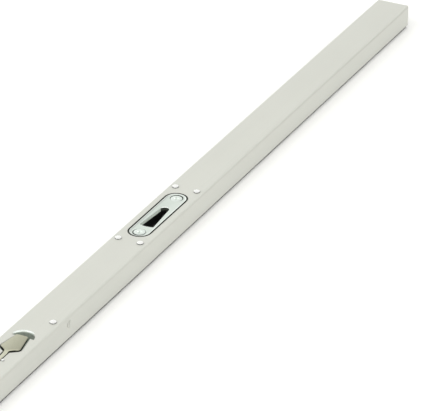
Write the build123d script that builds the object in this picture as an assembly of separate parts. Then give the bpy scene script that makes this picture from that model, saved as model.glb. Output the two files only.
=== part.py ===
"""Slim boxed multipoint lock bar for the edge of a standing door leaf.

A flush flip lever in the face turns a toothed sector. The sector drives a rack on the lower drive rod,
and an idler pinion passes the motion, reversed, to the upper drive rod, so that both end bolts draw in
together. Screwed keep plates with tapered slots take the mushroom studs of the other leaf.

Frame: X runs along the bar towards its top end, Y across the face, Z out of the face.
The origin lies under the lever's pivot, on the back of the bar. All sizes are in millimetres.
"""
from build123d import *
from math import acos, atan2, cos, hypot, pi, radians, sin, sqrt, tan
import os

# Box section of the bar
face_width = 30.0
side_height = 19.8
back_proud = 1.6
wall = 1.5
fold_radius = 1.0
bar_half_length = 720.0

# Back cover
cover_thickness = 3.2
cover_gap = 0.1

# Drive line
slide_gap = 0.3
rack_thickness = 4.0
rod_width = 9.0
tooth_module = 0.8
tooth_count = 18
tooth_thinning = 0.10
root_depth = 1.0
pressure_angle = 20.0
rack_width = 9.0
rack_arm_width = 4.0
idler_x = 40.0
idler_stud_radius = 2.0
idler_play = 0.1
tooth_reach = 6.0
jog_start = 8.0
jog_width = 6.0
jog_clearance = 4.8
rack_tail_reach = 4.6
lap_length = 16.0
rod_rivet_radius = 1.5

# Flip lever
lever_swing = 105.0
pivot_pin_radius = 2.0
running_clearance = 0.05
blade_thickness = 3.4
blade_top_drop = 0.3
blade_depth = 5.7
blade_rise_x = 5.0
blade_elbow_x = 12.0
hub_radius = 5.4
pivot_pin_half = 9.0
rib_tip_clearance = 6.0
rib_overlap = 0.2
hub_rise = 100.0
hub_fall = -30.0
neck_gap = 0.9
paddle_tip_x = 56.2
paddle_tip_half = 5.1
paddle_tip_round = 1.2
paddle_wide_x = 39.5
paddle_wide_half = 8.0
paddle_wide_round = 3.0
paddle_heel_x = 32.9
paddle_heel_half = 1.7
paddle_heel_round = 1.0
heel_blend = 1.5
paddle_thickness = 2.0
paddle_proud = 1.4
paddle_crown = 0.9
paddle_gap = 1.2
gear_plate_thickness = 2.2
gear_hub_radius = 5.0
gear_rivet_radius = 0.8
gear_rivet_reach = 3.6
gear_rivet_degrees = (100.0, 225.0)
washer_thickness = 0.5
washer_radius = 4.2
sector_start = 140.0
sector_end = 300.0
slot_end_x = -10.5

# Finger notch at the tip of the lever
notch_radius = 9.2
notch_centre_x = 55.6

# Housing of the lever
housing_top_x = 104.0
housing_bottom_x = -26.0
housing_side_gap = 0.2
housing_floor = 12.4
housing_roof = 2.0
housing_cavity_x = 12.5
housing_post_radius = 2.4
housing_post_inset = 4.0
housing_post_edge = 3.1
relief_start = 68.0
relief_length = 10.0
relief_wall = 3.5
stud_cover = 1.0
neck_floor_gap = 1.2
housing_rivet_x = 84.0
housing_lower_rivet_x = -17.5
stake_x = 21.0
stake_y = 4.0
stake_radius = 1.2
stake_head_height = 0.7
stake_shank_radius = 0.7
stake_depth = 2.0
side_screw_x = 98.5
side_screw_drop = 7.5
side_screw_head = 2.5
side_screw_radius = 1.5
side_screw_length = 6.0
side_screw_slot = 0.6

# Drag spring beside the rack bar
spring_thickness = 0.4
spring_span = 24.0
spring_height = 3.4
spring_tab = 3.0
spring_tab_height = 2.4
spring_tab_gap = 0.1

# Keep plates, their carriers and dust boxes
keep_offset = 266.4
keep_length = 76.8
keep_width = 17.4
keep_gap = 1.0
keep_thickness = 3.2
keep_rim = 1.5
keep_field_drop = 0.5
slot_wide = 12.0
slot_narrow = 7.2
slot_start = -20.4
slot_end = 14.4
slot_bow = 1.0
keep_screw_reach = 30.8
keep_screw_head = 5.4
keep_screw_radius = 3.0
keep_screw_length = 10.0
keep_head_seat = 0.2
keep_head_gap = 0.3
carrier_length = 108.0
carrier_floor = 15.8
carrier_rivet_reach = 47.55
carrier_post_radius = 2.6
carrier_boss_radius = 4.8
carrier_boss_drop = 4.0
window_length = 42.0
window_width = 16.0
window_shift = -3.0
dust_wall = 1.0
dust_floor = 8.6
dust_spigot = 2.0
dust_gap = 0.1

# Rivets in the face
rivet_head_radius = 2.7
rivet_head_height = 1.2
rivet_round_share = 0.4
rivet_radius = 1.6
rivet_depth = 4.6
rivet_edge = 3.9

# End blocks and bolts
block_length = 40.0
bolt_radius = 4.0
bolt_nose_radius = 3.8
bolt_throw = 12.0
bolt_height = 10.8
bolt_chamfer = 1.0
foot_length = 16.0
foot_clearance = 12.0
foot_width = 8.0
fixing_radius = 2.1
fixing_inset = 20.0
fixing_edge = 4.5
fixing_depth = 13.2

# Rod guides and back cover screws
guide_places = (140.0, 400.0, 560.0)
guide_length = 14.0
guide_side_gap = 1.5
guide_height = 6.0
guide_clearance = 0.3
guide_rivet_edge = 2.5
guide_rivet_radius = 1.2
cover_screw_head = 2.9
cover_screw_radius = 1.5
cover_screw_length = 8.0
cover_screw_inset = 32.0
countersink_slope = 0.75
recess_depth_share = 0.6
recess_reach_share = 0.55
recess_width_share = 0.22

# Levels and widths that follow from the sizes above
face_z = side_height + back_proud
inner_top = face_z - wall
inner_half = face_width / 2 - wall
rivet_y = inner_half - rivet_edge
fixing_y = inner_half - fixing_edge
housing_post_y = inner_half - housing_post_edge
relief_half = inner_half - relief_wall
guide_half = inner_half - guide_side_gap
guide_rivet_y = guide_half - guide_rivet_edge
rack_floor = cover_thickness + slide_gap
rack_top = rack_floor + rack_thickness
pitch_radius = tooth_module * tooth_count / 2
tooth_pitch = pi * tooth_module
pivot_z = rack_top - tooth_module + pitch_radius
rod_travel = pitch_radius * radians(lever_swing)
housing_z = rack_top + slide_gap
blade_half = blade_thickness / 2
blade_top = face_z - blade_top_drop
blade_bottom = blade_top - blade_depth
gear_outer_y = blade_half + gear_plate_thickness
cavity_half = gear_outer_y + running_clearance + washer_thickness
neck_slot_half = blade_half + neck_gap
rack_root_y = pitch_radius + root_depth
keep_floor = face_z - keep_thickness
keep_field = face_z - keep_field_drop
rack_arm_end = idler_x + tooth_reach + 2 * tooth_module
rack_arm_outer = rack_root_y + rack_arm_width
rack_tooth_tip = pitch_radius - tooth_module
counter_jog_start = idler_x + tooth_reach + rod_travel + jog_clearance
rack_tail_x = -(rod_travel + tooth_reach + rack_tail_reach)
lap_level = (rack_floor + rack_top) / 2
foot_outer_x = bar_half_length - block_length - foot_clearance
spring_middle_x = idler_x - rod_travel / 2
spring_tab_x = spring_middle_x + spring_span / 2


def block(x0, x1, y0, y1, z0, z1):
    """Box between two corners."""
    return Pos((x0 + x1) / 2, (y0 + y1) / 2, (z0 + z1) / 2) * Box(x1 - x0, y1 - y0, z1 - z0)


def post(x, y, z0, z1, radius):
    """Upright cylinder from z0 to z1."""
    return Pos(x, y, (z0 + z1) / 2) * Cylinder(radius, z1 - z0)


def lengthwise_rod(x0, x1, y, z, radius):
    """Cylinder along the bar."""
    return Pos((x0 + x1) / 2, y, z) * Rot(0, 90, 0) * Cylinder(radius, x1 - x0)


def cross_rod(x, z, y0, y1, radius):
    """Cylinder across the bar."""
    return Pos(x, (y0 + y1) / 2, z) * Rot(90, 0, 0) * Cylinder(radius, y1 - y0)


def obround(x, length, width, z0, z1):
    """Prism with round ends, long side along the bar."""
    return extrude(Pos(x, 0, z0) * SlotOverall(length, width), z1 - z0)


def flat_prism(outline, z0, z1):
    """Prism of a flat outline drawn in plan."""
    return extrude(Pos(0, 0, z0) * outline, z1 - z0)


def side_prism(points, y0, y1):
    """Prism across the bar of a closed outline given as (x, z) points."""
    outline = make_face(Polyline(*[(x, y1, z) for x, z in points], close=True))
    return extrude(outline, amount=y1 - y0, dir=(0, -1, 0))


def span(side, inner, outer):
    """Lower and upper end of a stretch on one side of the middle line."""
    return sorted((side * inner, side * outer))


def group(solids):
    """Several separate solids as one piece."""
    return Compound(children=list(solids))


def rivet(x, y, head_radius, head_height, shank_radius, depth):
    """Low flat rivet head with a rounded rim on the face, and its shank below it."""
    top = face_z + head_height
    head = post(x, y, face_z, top, head_radius)
    rim = head.edges().filter_by(lambda edge: edge.center().Z > top - 0.01)
    head = fillet(rim, rivet_round_share * head_height)
    return head + post(x, y, face_z - depth, face_z, shank_radius)


def cross_recess(z0, z1, reach, thickness):
    """Cross-shaped driver recess between two levels."""
    first = block(-reach, reach, -thickness / 2, thickness / 2, z0, z1)
    second = block(-thickness / 2, thickness / 2, -reach, reach, z0, z1)
    return first + second


def countersunk_screw(head_radius, shank_radius, length):
    """Countersunk screw that points down, its flat head at level zero."""
    cone_depth = countersink_slope * (head_radius - shank_radius)
    head = Pos(0, 0, -cone_depth / 2) * Cone(shank_radius, head_radius, cone_depth)
    shank = post(0, 0, -length, -cone_depth, shank_radius)
    depth = recess_depth_share * cone_depth
    recess = cross_recess(-depth, 1, recess_reach_share * head_radius, recess_width_share * head_radius)
    return head + shank - recess


def countersink(head_radius, shank_radius, length):
    """Room for a countersunk screw, a little above its head too."""
    cone_depth = countersink_slope * (head_radius - shank_radius)
    head = Pos(0, 0, -cone_depth / 2) * Cone(shank_radius, head_radius, cone_depth)
    return head + post(0, 0, -length, -cone_depth, shank_radius) + post(0, 0, 0, 1, head_radius)


def involute(angle):
    """Involute function of a pressure angle in radians."""
    return tan(angle) - angle


def gear_outline():
    """Outline of the whole gear wheel, with one tooth pointing straight down."""
    base_radius = pitch_radius * cos(radians(pressure_angle))
    tip_radius = pitch_radius + tooth_module
    root_radius = pitch_radius - root_depth
    pitch_half = (tooth_pitch / 2 - tooth_thinning) / 2 / pitch_radius
    flank_steps = 4
    flank = [(root_radius, pitch_half + involute(radians(pressure_angle)))]
    for step in range(flank_steps + 1):
        radius = base_radius + (tip_radius - base_radius) * step / flank_steps
        turn = involute(radians(pressure_angle)) - involute(acos(min(1.0, base_radius / radius)))
        flank.append((radius, pitch_half + turn))
    points = []
    for tooth in range(tooth_count):
        middle = -pi / 2 + 2 * pi * tooth / tooth_count
        for radius, half in flank:
            points.append((radius * cos(middle - half), radius * sin(middle - half)))
        for radius, half in reversed(flank):
            points.append((radius * cos(middle + half), radius * sin(middle + half)))
    return make_face(Polyline(*points, close=True))


def rack_tooth_half(height):
    """Half thickness of a rack tooth at a height above the pitch line."""
    return (tooth_pitch / 2 - tooth_thinning) / 2 - height * tan(radians(pressure_angle))


def rack_gap_cut(x, tip_level, root_level):
    """Outline of one gap between rack teeth, as four (along, out) points."""
    pitch_level = tip_level - tooth_module
    gap_at_tip = tooth_pitch / 2 - rack_tooth_half(tooth_module)
    gap_at_root = tooth_pitch / 2 - rack_tooth_half(root_level - pitch_level)
    over = 0.5
    flare = over * tan(radians(pressure_angle))
    return [(x - gap_at_tip - flare, tip_level + over), (x - gap_at_root, root_level),
            (x + gap_at_root, root_level), (x + gap_at_tip + flare, tip_level + over)]


def gap_places(start, end, origin):
    """Middles of the rack gaps between two places, in step with a gap at the origin."""
    first = int((start - origin) // tooth_pitch) + 1
    last = int((end - origin) // tooth_pitch)
    return [origin + number * tooth_pitch for number in range(first, last + 1)]


def belt(corners):
    """Closed outline drawn tight round a ring of corner circles, counterclockwise as (x, y, radius)."""
    following = corners[1:] + corners[:1]
    facings = []
    for (x, y, radius), (next_x, next_y, next_radius) in zip(corners, following):
        reach = hypot(next_x - x, next_y - y)
        facings.append(atan2(next_y - y, next_x - x) - acos((radius - next_radius) / reach))
    edges = []
    for index, (x, y, radius) in enumerate(corners):
        arrival = facings[index - 1]
        leaving = facings[index]
        middle = arrival + ((leaving - arrival) % (2 * pi)) / 2
        spots = [(x + radius * cos(angle), y + radius * sin(angle)) for angle in (arrival, middle, leaving)]
        next_x, next_y, next_radius = following[index]
        next_spot = (next_x + next_radius * cos(leaving), next_y + next_radius * sin(leaving))
        edges.append(ThreePointArc(*spots))
        edges.append(Line(spots[2], next_spot))
    return make_face(Wire(edges))


def paddle_outline(grow):
    """Spoon outline of the paddle: straight flanks, rounded corners, grown evenly by a gap."""
    tip = (paddle_tip_x - paddle_tip_round, paddle_tip_half - paddle_tip_round, paddle_tip_round + grow)
    wide = (paddle_wide_x, paddle_wide_half - paddle_wide_round, paddle_wide_round + grow)
    heel = (paddle_heel_x + paddle_heel_round, paddle_heel_half - paddle_heel_round, paddle_heel_round + grow)
    half = [tip, wide, heel]
    return belt(half + [(x, -y, radius) for x, y, radius in reversed(half)])


def notch_outline(grow):
    """Finger notch beyond the paddle's tip: a disc cut straight across at the tip."""
    disc = Pos(notch_centre_x, 0) * Circle(notch_radius + grow)
    reach = notch_radius + grow + 1.0
    keep_x = paddle_tip_x - grow
    half_plane = Pos(keep_x + reach / 2, 0) * Rectangle(reach, 2 * reach)
    return disc & half_plane


def lever_opening(grow):
    """Whole opening for the lever: paddle, finger notch and neck slot."""
    neck_start = slot_end_x - grow
    neck_end = paddle_wide_x
    neck = Pos((neck_start + neck_end) / 2, 0) * Rectangle(neck_end - neck_start, 2 * (neck_slot_half + grow))
    return paddle_outline(paddle_gap + grow) + notch_outline(grow) + neck


def tapered_slot(centre_x):
    """Slot that narrows towards the top end and has a shallow bow at its wide end."""
    end_half = slot_narrow / 2
    start_half = slot_wide / 2
    end_x = centre_x + slot_end - end_half
    start_x = centre_x + slot_start
    rim = [Line((start_x + slot_bow, start_half), (end_x, end_half)),
           ThreePointArc((end_x, end_half), (centre_x + slot_end, 0), (end_x, -end_half)),
           Line((end_x, -end_half), (start_x + slot_bow, -start_half)),
           ThreePointArc((start_x + slot_bow, -start_half), (start_x, 0), (start_x + slot_bow, start_half))]
    return make_face(Wire(rim))


def face_rivet_places(centre_x):
    """Places of the four rivets that hold a keep carrier."""
    return [(centre_x + along * carrier_rivet_reach, across * rivet_y)
            for along in (-1, 1) for across in (-1, 1)]


def housing_post_places():
    """Places of the four posts under the lever housing."""
    return [(x, side * housing_post_y) for side in (-1, 1)
            for x in (housing_top_x - housing_post_inset, housing_bottom_x + housing_post_inset)]


def housing_screw_places():
    """The two posts of the lever housing that take a cover screw, on a diagonal."""
    posts = housing_post_places()
    return [posts[0], posts[3]]


def housing_rivet_places():
    """Places of the two rivets that hold the lever housing."""
    return [(housing_rivet_x, -rivet_y), (housing_lower_rivet_x, rivet_y)]


def cover_screw_places():
    """Places of the screws in the back cover: end blocks, keep carriers and lever housing."""
    places = []
    for end in (-1, 1):
        for side in (-1, 1):
            places.append((end * (bar_half_length - cover_screw_inset), side * fixing_y))
            places.append((end * keep_offset + side * carrier_rivet_reach, side * rivet_y))
    return places + housing_screw_places()


def fixing_places():
    """Places of the four threaded fixing holes in the back."""
    reach = bar_half_length - fixing_inset
    return [(along * reach, across * fixing_y) for along in (-1, 1) for across in (-1, 1)]


def make_face_channel():
    """Folded channel: the face and both side walls, with every opening in them."""
    outer = block(-bar_half_length, bar_half_length, -face_width / 2, face_width / 2, back_proud, face_z)
    folds = outer.edges().filter_by(Axis.X).filter_by(lambda edge: edge.center().Z > face_z - 0.01)
    outer = fillet(folds, fold_radius)
    beyond = bar_half_length + 1
    inside = block(-beyond, beyond, -inner_half, inner_half, back_proud - 1, inner_top)
    channel = outer - inside
    cuts = [flat_prism(lever_opening(0.0), inner_top - 1, face_z + 1)]
    for centre in (-keep_offset, keep_offset):
        length = keep_length + 2 * keep_gap
        width = keep_width + 2 * keep_gap
        cuts.append(obround(centre, length, width, inner_top - 1, face_z + 1))
        for x, y in face_rivet_places(centre):
            cuts.append(post(x, y, inner_top - 1, face_z + 1, rivet_radius))
    for x, y in housing_rivet_places():
        cuts.append(post(x, y, inner_top - 1, face_z + 1, rivet_radius))
    for side in (-1, 1):
        cuts.append(post(stake_x, side * stake_y, inner_top - 1, face_z + 1, stake_shank_radius))
        low, high = span(side, inner_half - 1, face_width / 2 + 1)
        cuts.append(cross_rod(side_screw_x, face_z - side_screw_drop, low, high, side_screw_head))
    return channel - cuts


def make_back_cover():
    """Flat strip that closes the channel from behind, with screw and fixing holes."""
    half = inner_half - cover_gap
    strip = block(-bar_half_length, bar_half_length, -half, half, 0, cover_thickness)
    hole = Rot(180, 0, 0) * countersink(cover_screw_head, cover_screw_radius, cover_thickness + 1)
    cuts = [Pos(x, y, 0) * hole for x, y in cover_screw_places()]
    for x, y in fixing_places():
        cuts.append(post(x, y, -1, cover_thickness + 1, fixing_radius))
    for x, y in guide_rivet_places():
        cuts.append(post(x, y, -1, cover_thickness + 1, guide_rivet_radius))
    return strip - cuts


def make_back_cover_screws():
    """Countersunk screws that hold the back cover."""
    screw = countersunk_screw(cover_screw_head, cover_screw_radius, cover_screw_length)
    return group(Pos(x, y, 0) * Rot(180, 0, 0) * screw for x, y in cover_screw_places())


def make_end_block(end):
    """Block that closes an end of the channel and guides the end bolt."""
    near = bar_half_length - block_length
    half = inner_half - cover_gap
    body = block(near, bar_half_length, -half, half, cover_thickness, inner_top)
    bore_radius = bolt_radius + running_clearance
    cuts = [lengthwise_rod(near - 1, bar_half_length + 1, 0, bolt_height, bore_radius)]
    for side in (-1, 1):
        screw_x = bar_half_length - cover_screw_inset
        cuts.append(post(screw_x, side * fixing_y, 0, cover_screw_length, cover_screw_radius))
        fixing_x = bar_half_length - fixing_inset
        cuts.append(post(fixing_x, side * fixing_y, 0, fixing_depth, fixing_radius))
    body = body - cuts
    if end < 0:
        body = Rot(0, 0, 180) * body
    return body


def make_end_bolt(end):
    """Round end bolt with a stepped nose and a foot that sits on the drive rod."""
    nose_end = bar_half_length + bolt_throw
    nose = lengthwise_rod(bar_half_length, nose_end, 0, bolt_height, bolt_nose_radius)
    rim = nose.edges().filter_by(lambda edge: edge.center().X > nose_end - 0.01)
    nose = chamfer(rim, bolt_chamfer)
    shaft = lengthwise_rod(foot_outer_x, bar_half_length, 0, bolt_height, bolt_radius)
    foot_half = foot_width / 2
    foot_top = bolt_height + bolt_radius
    foot = block(foot_outer_x - foot_length, foot_outer_x, -foot_half, foot_half, rack_top, foot_top)
    bolt = nose + shaft + foot
    for x in bolt_pin_places():
        bolt = bolt - post(x, 0, rack_top - 1, foot_top + 1, rod_rivet_radius)
    if end < 0:
        bolt = Rot(0, 0, 180) * bolt
    return bolt


def bolt_pin_places():
    """Places along the bar of the two pins through an end bolt's foot."""
    return [foot_outer_x - 0.25 * foot_length, foot_outer_x - 0.75 * foot_length]


def make_bolt_pins(end):
    """Pins that join an end bolt's foot to its drive rod."""
    foot_top = bolt_height + bolt_radius
    return group(post(end * x, 0, rack_floor, foot_top, rod_rivet_radius) for x in bolt_pin_places())


def lap_rivet_places(start):
    """Places along the bar of the two rivets in a lap joint."""
    return [start + 0.25 * lap_length, start + 0.75 * lap_length]


def upper_lap_start():
    """Where the lap joint of the upper drive rod begins."""
    return counter_jog_start + jog_width


def lower_lap_start():
    """Where the lap joint of the lower drive rod begins."""
    return rack_tail_x - lap_length


def make_drive_rod(end):
    """Flat drive rod from its lap joint to the foot of its end bolt."""
    half = rod_width / 2
    if end > 0:
        lap_low = upper_lap_start()
        lap_high = lap_low + lap_length
        body = block(lap_high, foot_outer_x, -half, half, rack_floor, rack_top)
    else:
        lap_low = lower_lap_start()
        lap_high = lap_low + lap_length
        body = block(-foot_outer_x, lap_low, -half, half, rack_floor, rack_top)
    body = body + block(lap_low, lap_high, -half, half, lap_level, rack_top)
    cuts = [post(x, 0, 0, rack_top + 1, rod_rivet_radius) for x in lap_rivet_places(lap_low)]
    for x in bolt_pin_places():
        cuts.append(post(end * x, 0, 0, rack_top + 1, rod_rivet_radius))
    return body - cuts


def make_lap_rivets(start):
    """Flush rivets of a lap joint."""
    return group(post(x, 0, rack_floor, rack_top, rod_rivet_radius) for x in lap_rivet_places(start))


def rack_teeth_cuts_up(start, end):
    """Gaps of the rack under the lever, cut down from its top."""
    root = rack_top - tooth_module - root_depth
    half = rack_width / 2 + 1
    return [side_prism(rack_gap_cut(x, rack_top, root), -half, half) for x in gap_places(start, end, 0.0)]


def rack_teeth_cuts_side(start, end, side):
    """Gaps of a side rack that faces the idler pinion."""
    cuts = []
    for x in gap_places(start, end, idler_x):
        corners = rack_gap_cut(x, -rack_tooth_tip, -rack_root_y)
        outline = Polyline(*[(along, -side * out) for along, out in corners], close=True)
        cuts.append(flat_prism(make_face(outline), rack_floor - 1, rack_top + 1))
    return cuts


def make_rack_bar():
    """Rack bar of the lower rod: rack under the sector, then an arm past the idler pinion."""
    half = rack_width / 2
    jog_end = jog_start + jog_width
    centre_part = block(rack_tail_x, jog_end, -half, half, rack_floor, rack_top)
    jog = block(jog_start, jog_end, -half, rack_arm_outer, rack_floor, rack_top)
    arm = block(jog_start, rack_arm_end, rack_root_y, rack_arm_outer, rack_floor, rack_top)
    tooth_start = idler_x - rod_travel - tooth_reach
    tooth_end = idler_x + tooth_reach
    teeth = block(tooth_start, tooth_end, rack_tooth_tip, rack_root_y, rack_floor, rack_top)
    tail = block(lower_lap_start(), rack_tail_x, -rod_width / 2, rod_width / 2, rack_floor, lap_level)
    cuts = rack_teeth_cuts_up(-rod_travel - tooth_reach, tooth_reach)
    cuts += rack_teeth_cuts_side(tooth_start - 1, tooth_end + 1, 1)
    cuts += [post(x, 0, 0, rack_top + 1, rod_rivet_radius) for x in lap_rivet_places(lower_lap_start())]
    return centre_part + jog + arm + teeth + tail - cuts


def make_counter_rack():
    """Counter rack of the upper rod, on the other side of the idler pinion."""
    half = rod_width / 2
    tooth_start = idler_x - tooth_reach
    tooth_end = idler_x + rod_travel + tooth_reach
    arm_start = tooth_start - tooth_module
    jog_end = counter_jog_start + jog_width
    arm = block(arm_start, jog_end, -rack_arm_outer, -rack_root_y, rack_floor, rack_top)
    jog = block(counter_jog_start, jog_end, -rack_arm_outer, half, rack_floor, rack_top)
    teeth = block(tooth_start, tooth_end, -rack_root_y, -rack_tooth_tip, rack_floor, rack_top)
    tail = block(jog_end, jog_end + lap_length, -half, half, rack_floor, lap_level)
    cuts = rack_teeth_cuts_side(tooth_start - 1, tooth_end + 1, -1)
    cuts += [post(x, 0, 0, rack_top + 1, rod_rivet_radius) for x in lap_rivet_places(upper_lap_start())]
    return arm + jog + teeth + tail - cuts


def make_idler_pinion():
    """Pinion between the two side racks."""
    wheel = flat_prism(gear_outline(), rack_floor + idler_play, rack_top - idler_play)
    wheel = wheel - post(0, 0, 0, rack_top + 1, idler_stud_radius + running_clearance)
    return Pos(idler_x, 0, 0) * wheel


def make_idler_stud():
    """Stud that carries the idler pinion, pressed into the housing."""
    return post(idler_x, 0, cover_thickness, housing_floor - stud_cover, idler_stud_radius)


def sector_outline():
    """Part of the gear wheel that meets the rack over the lever's swing, with a plain hub."""
    reach = 1.5 * pitch_radius
    steps = 8
    rim = [(0.0, 0.0)]
    for step in range(steps + 1):
        angle = radians(sector_start + (sector_end - sector_start) * step / steps)
        rim.append((reach * cos(angle), reach * sin(angle)))
    wedge = make_face(Polyline(*rim, close=True))
    return (gear_outline() & wedge) + Circle(gear_hub_radius)


def make_lever_gear_plates():
    """Two toothed sector plates, one on each side of the lever's blade."""
    outline = sector_outline() - Circle(pivot_pin_radius + running_clearance)
    for angle in gear_rivet_angles():
        place = Pos(gear_rivet_reach * cos(angle), gear_rivet_reach * sin(angle))
        outline = outline - place * Circle(gear_rivet_radius)
    upright = Plane(origin=(0, 0, pivot_z), x_dir=(1, 0, 0), z_dir=(0, -1, 0))
    first = extrude(upright * Pos(0, 0, blade_half) * outline, gear_plate_thickness)
    second = extrude(upright * Pos(0, 0, -gear_outer_y) * outline, gear_plate_thickness)
    return group([first, second])


def gear_rivet_angles():
    """Angles of the two rivets that hold the sector plates to the blade."""
    return [radians(angle) for angle in gear_rivet_degrees]


def make_lever_gear_rivets():
    """Flush rivets through the blade and both sector plates."""
    rivets = []
    for angle in gear_rivet_angles():
        x = gear_rivet_reach * cos(angle)
        z = pivot_z + gear_rivet_reach * sin(angle)
        rivets.append(cross_rod(x, z, -gear_outer_y, gear_outer_y, gear_rivet_radius))
    return group(rivets)


def paddle_reach():
    """Field in plan that holds the paddle and its blends into the neck."""
    start = paddle_heel_x - 2 * heel_blend
    return Pos((start + paddle_tip_x) / 2, 0) * Rectangle(paddle_tip_x - start, 2 * paddle_wide_half + 2)


def make_flip_lever():
    """Spoon-shaped paddle with a crowned top, its rib, the thin neck blade and the hub disc."""
    paddle_top = face_z + paddle_proud
    crown_radius = (paddle_wide_half ** 2 + paddle_crown ** 2) / (2 * paddle_crown)
    neck_length = paddle_wide_x - 2 * hub_radius
    neck = Pos(paddle_wide_x - neck_length / 2, 0) * Rectangle(neck_length, blade_thickness)
    spoon = paddle_outline(0.0) + neck
    blends = spoon.vertices().filter_by(lambda spot: abs(spot.Y) < blade_half + 0.01)
    blends = blends.filter_by(lambda spot: spot.X > 0.6 * paddle_wide_x)
    spoon = fillet(blends, heel_blend) & paddle_reach()
    paddle = flat_prism(spoon, paddle_top - paddle_thickness, paddle_top)
    crown = lengthwise_rod(0, paddle_tip_x + 1, 0, paddle_top - crown_radius, crown_radius)
    paddle = paddle & crown
    under = paddle_top - paddle_thickness + rib_overlap
    rib_end = paddle_tip_x - rib_tip_clearance
    heel_x = paddle_heel_x + 1.0
    hub_reach = hub_radius - 0.1
    hub_top = (hub_reach * cos(radians(hub_rise)), pivot_z + hub_reach * sin(radians(hub_rise)))
    hub_low = (hub_reach * cos(radians(hub_fall)), pivot_z + hub_reach * sin(radians(hub_fall)))
    side_view = [hub_top, (blade_rise_x, blade_top), (heel_x, blade_top), (heel_x, under),
                 (rib_end, under), (paddle_wide_x, blade_bottom), (blade_elbow_x, blade_bottom),
                 hub_low, (0.0, pivot_z)]
    blade = side_prism(side_view, -blade_half, blade_half)
    hub = cross_rod(0, pivot_z, -blade_half, blade_half, hub_radius)
    lever = paddle + blade + hub
    reach = blade_half + 1
    lever = lever - cross_rod(0, pivot_z, -reach, reach, pivot_pin_radius + running_clearance)
    for angle in gear_rivet_angles():
        x = gear_rivet_reach * cos(angle)
        z = pivot_z + gear_rivet_reach * sin(angle)
        lever = lever - cross_rod(x, z, -reach, reach, gear_rivet_radius)
    return lever


def make_pivot_pin():
    """Pin across the housing that the lever turns on."""
    return cross_rod(0, pivot_z, -pivot_pin_half, pivot_pin_half, pivot_pin_radius)


def make_pivot_washers():
    """Thrust washers between the sector plates and the housing."""
    washers = []
    for side in (-1, 1):
        low, high = span(side, cavity_half - washer_thickness, cavity_half)
        ring = cross_rod(0, pivot_z, low, high, washer_radius)
        washers.append(ring - cross_rod(0, pivot_z, low - 1, high + 1, pivot_pin_radius))
    return group(washers)


def make_lever_housing():
    """Cast housing behind the face: lever pocket, pivot ears, idler seat and posts to the cover."""
    half = inner_half - housing_side_gap
    above = inner_top + 1
    below = housing_z - 1
    clear = neck_gap / 2
    neck_half = neck_slot_half + clear
    body = block(housing_bottom_x, housing_top_x, -half, half, housing_z, inner_top)
    for x, y in housing_post_places():
        body = body + post(x, y, cover_thickness, housing_z, housing_post_radius)
    pocket = paddle_outline(paddle_gap + clear) + notch_outline(clear)
    relief_end = relief_start + relief_length
    neck_floor = blade_bottom - neck_floor_gap
    cuts = [flat_prism(pocket, housing_floor, above)]
    cuts.append(block(slot_end_x - clear, housing_cavity_x, -cavity_half, cavity_half, below, above))
    cuts.append(block(housing_cavity_x - 1, paddle_wide_x, -neck_half, neck_half, neck_floor, above))
    cuts.append(block(relief_start, relief_end, -relief_half, relief_half, below, inner_top - housing_roof))
    cuts.append(cross_rod(0, pivot_z, -pivot_pin_half, pivot_pin_half, pivot_pin_radius))
    cuts.append(post(idler_x, 0, below, housing_floor - stud_cover, idler_stud_radius))
    for x, y in housing_rivet_places():
        cuts.append(post(x, y, face_z - rivet_depth, above, rivet_radius))
    for side in (-1, 1):
        cuts.append(post(stake_x, side * stake_y, inner_top - stake_depth, above, stake_shank_radius))
        low, high = span(side, face_width / 2 - side_screw_length, half + 1)
        cuts.append(cross_rod(side_screw_x, face_z - side_screw_drop, low, high, side_screw_radius))
    for x, y in housing_screw_places():
        cuts.append(post(x, y, cover_thickness - 1, cover_screw_length, cover_screw_radius))
    notch_start = spring_tab_x - spring_tab_gap
    notch_end = spring_tab_x + spring_tab + spring_tab_gap
    notch_y = inner_half - spring_thickness - spring_tab_gap
    notch_top = housing_z + spring_tab_height + spring_tab_gap
    cuts.append(block(notch_start, notch_end, notch_y, half + 1, below, notch_top))
    return body - cuts


def make_drag_spring():
    """Bowed leaf between the side wall and the rack bar's arm, with a tab up into the housing."""
    crest_y = rack_arm_outer + running_clearance
    crest_back = crest_y + spring_thickness
    foot_y = inner_half - spring_thickness
    start_x = spring_middle_x - spring_span / 2
    end_x = spring_tab_x
    rim = [ThreePointArc((start_x, foot_y), (spring_middle_x, crest_y), (end_x, foot_y)),
           Line((end_x, foot_y), (end_x, inner_half)),
           ThreePointArc((end_x, inner_half), (spring_middle_x, crest_back), (start_x, inner_half)),
           Line((start_x, inner_half), (start_x, foot_y))]
    leaf = flat_prism(make_face(Wire(rim)), rack_floor, rack_floor + spring_height)
    tab_top = housing_z + spring_tab_height
    tab = block(end_x, end_x + spring_tab, foot_y, inner_half, rack_floor, tab_top)
    return leaf + tab


def make_housing_rivets():
    """Rivets that hold the lever housing to the face."""
    return group(rivet(x, y, rivet_head_radius, rivet_head_height, rivet_radius, rivet_depth)
                 for x, y in housing_rivet_places())


def make_neck_stakes():
    """Small rivets on both sides of the neck slot."""
    depth = wall + stake_depth
    return group(rivet(stake_x, side * stake_y, stake_radius, stake_head_height, stake_shank_radius, depth)
                 for side in (-1, 1))


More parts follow.
